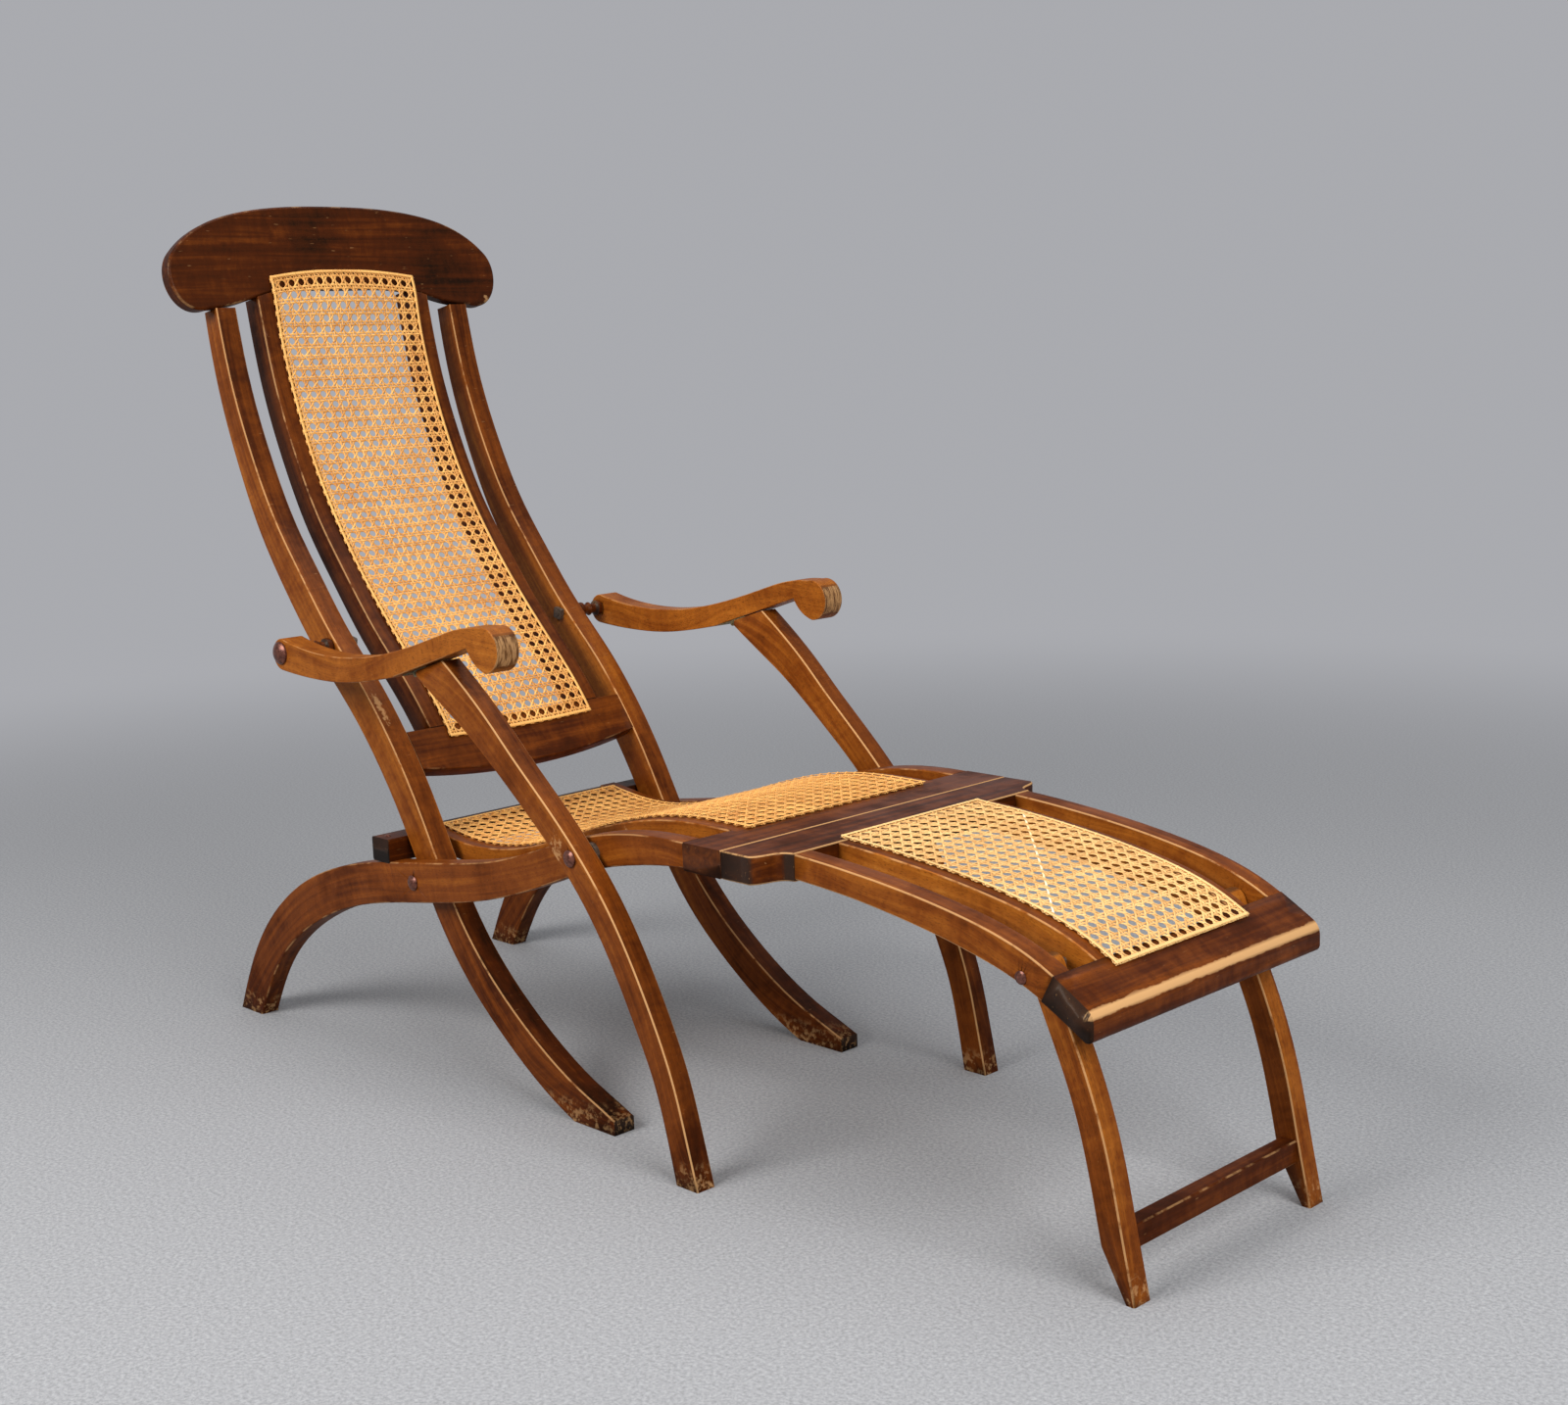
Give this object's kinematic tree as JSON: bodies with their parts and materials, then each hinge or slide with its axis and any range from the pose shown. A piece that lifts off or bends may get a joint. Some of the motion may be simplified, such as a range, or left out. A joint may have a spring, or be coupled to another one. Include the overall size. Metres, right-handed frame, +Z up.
{
  "type": "steamer deck chair",
  "caption": "Folding steamer deck chair with a caned seat, reclined back and leg rest, scrolled arms and curved legs, hinged to fold flat.",
  "frame": {"origin": "on the floor, under the middle of the chair's length and width", "axes": "+X towards the sitter's feet, +Y to the sitter's left, +Z up"},
  "size_m": [1.5644, 0.5922, 1.1488],
  "materials": {
    "stained_wood": "worn stain and old varnish over beech",
    "cane": "natural cane in a six-way weave",
    "bolt_metal": "domed bolts and square nuts, browned with age",
    "hinge_metal": "tarnished butt hinges"
  },
  "bodies": {
    "seat_frame": {"seat_rear_rail": "stained_wood", "seat_front_rail": "stained_wood", "seat_side_rail_right": "stained_wood", "seat_inner_stile_right": "stained_wood", "seat_side_rail_left": "stained_wood", "seat_inner_stile_left": "stained_wood", "seat_cane_panel": "cane", "back_pivot_bolts": "bolt_metal", "back_pivot_nuts": "bolt_metal", "leg_pivot_bolts": "bolt_metal", "leg_pivot_nuts": "bolt_metal", "leg_pivot_spacers": "bolt_metal", "knee_hinge_seat_leaves": "hinge_metal", "knee_hinge_pins": "hinge_metal", "rear_rail_screws": "bolt_metal"},
    "back_frame": {"crest_rail": "stained_wood", "back_lower_rail": "stained_wood", "back_stile_right": "stained_wood", "back_inner_stile_right": "stained_wood", "back_stile_left": "stained_wood", "back_inner_stile_left": "stained_wood", "back_cane_panel": "cane", "arm_bolt_nuts": "bolt_metal"},
    "leg_rest": {"leg_rest_rear_rail": "stained_wood", "leg_rest_front_rail": "stained_wood", "leg_rest_side_rail_right": "stained_wood", "leg_rest_inner_stile_right": "stained_wood", "leg_rest_side_rail_left": "stained_wood", "leg_rest_inner_stile_left": "stained_wood", "leg_rest_cane_panel": "cane", "front_leg_bolts": "bolt_metal", "front_leg_nuts": "bolt_metal", "knee_hinge_rest_leaves": "hinge_metal"},
    "front_legs": {"front_stretcher": "stained_wood", "front_leg_right": "stained_wood", "front_leg_left": "stained_wood"},
    "support_leg_right": {"support_leg_right": "stained_wood", "arm_hinge_lower_leaf_right": "hinge_metal"},
    "arm_right": {"arm_right": "stained_wood", "arm_spool_right": "stained_wood", "arm_bolt_right": "bolt_metal", "arm_hinge_upper_leaf_right": "hinge_metal", "arm_hinge_pin_right": "hinge_metal"},
    "support_leg_left": {"support_leg_left": "stained_wood", "arm_hinge_lower_leaf_left": "hinge_metal"},
    "arm_left": {"arm_left": "stained_wood", "arm_spool_left": "stained_wood", "arm_bolt_left": "bolt_metal", "arm_hinge_upper_leaf_left": "hinge_metal", "arm_hinge_pin_left": "hinge_metal"}
  },
  "joints": [
    {"name": "back_fold", "type": "hinge", "parent": "seat_frame", "child": "back_frame", "pos_m": [-0.30156, 0, 0.2626], "axis": [0, 1, 0], "range_deg": [0, 80]},
    {"name": "support_leg_fold_right", "type": "hinge", "parent": "seat_frame", "child": "support_leg_right", "pos_m": [0.06944, 0, 0.35909], "axis": [0, 1, 0], "range_deg": [0, 77.4]},
    {"name": "arm_fold_right", "type": "hinge", "parent": "support_leg_right", "child": "arm_right", "pos_m": [-0.2113, 0, 0.54907], "axis": [0, 1, 0], "range_deg": [-112.6, 0]},
    {"name": "support_leg_fold_left", "type": "hinge", "parent": "seat_frame", "child": "support_leg_left", "pos_m": [0.06944, 0, 0.35909], "axis": [0, 1, 0], "range_deg": [0, 77.4]},
    {"name": "arm_fold_left", "type": "hinge", "parent": "support_leg_left", "child": "arm_left", "pos_m": [-0.2113, 0, 0.54907], "axis": [0, 1, 0], "range_deg": [-112.6, 0]},
    {"name": "leg_rest_fold", "type": "hinge", "parent": "seat_frame", "child": "leg_rest", "pos_m": [0.28844, 0, 0.35864], "axis": [0, 1, 0], "range_deg": [0, 100]},
    {"name": "front_legs_fold", "type": "hinge", "parent": "leg_rest", "child": "front_legs", "pos_m": [0.66944, 0, 0.318], "axis": [0, 1, 0], "range_deg": [0, 108]}
  ],
  "couplings": [
    {"joint": "support_leg_fold_right", "follows": "back_fold", "ratio": 0.9547},
    {"joint": "arm_fold_right", "follows": "back_fold", "ratio": -1.3955},
    {"joint": "support_leg_fold_left", "follows": "back_fold", "ratio": 0.9547},
    {"joint": "arm_fold_left", "follows": "back_fold", "ratio": -1.3955}
  ]
}
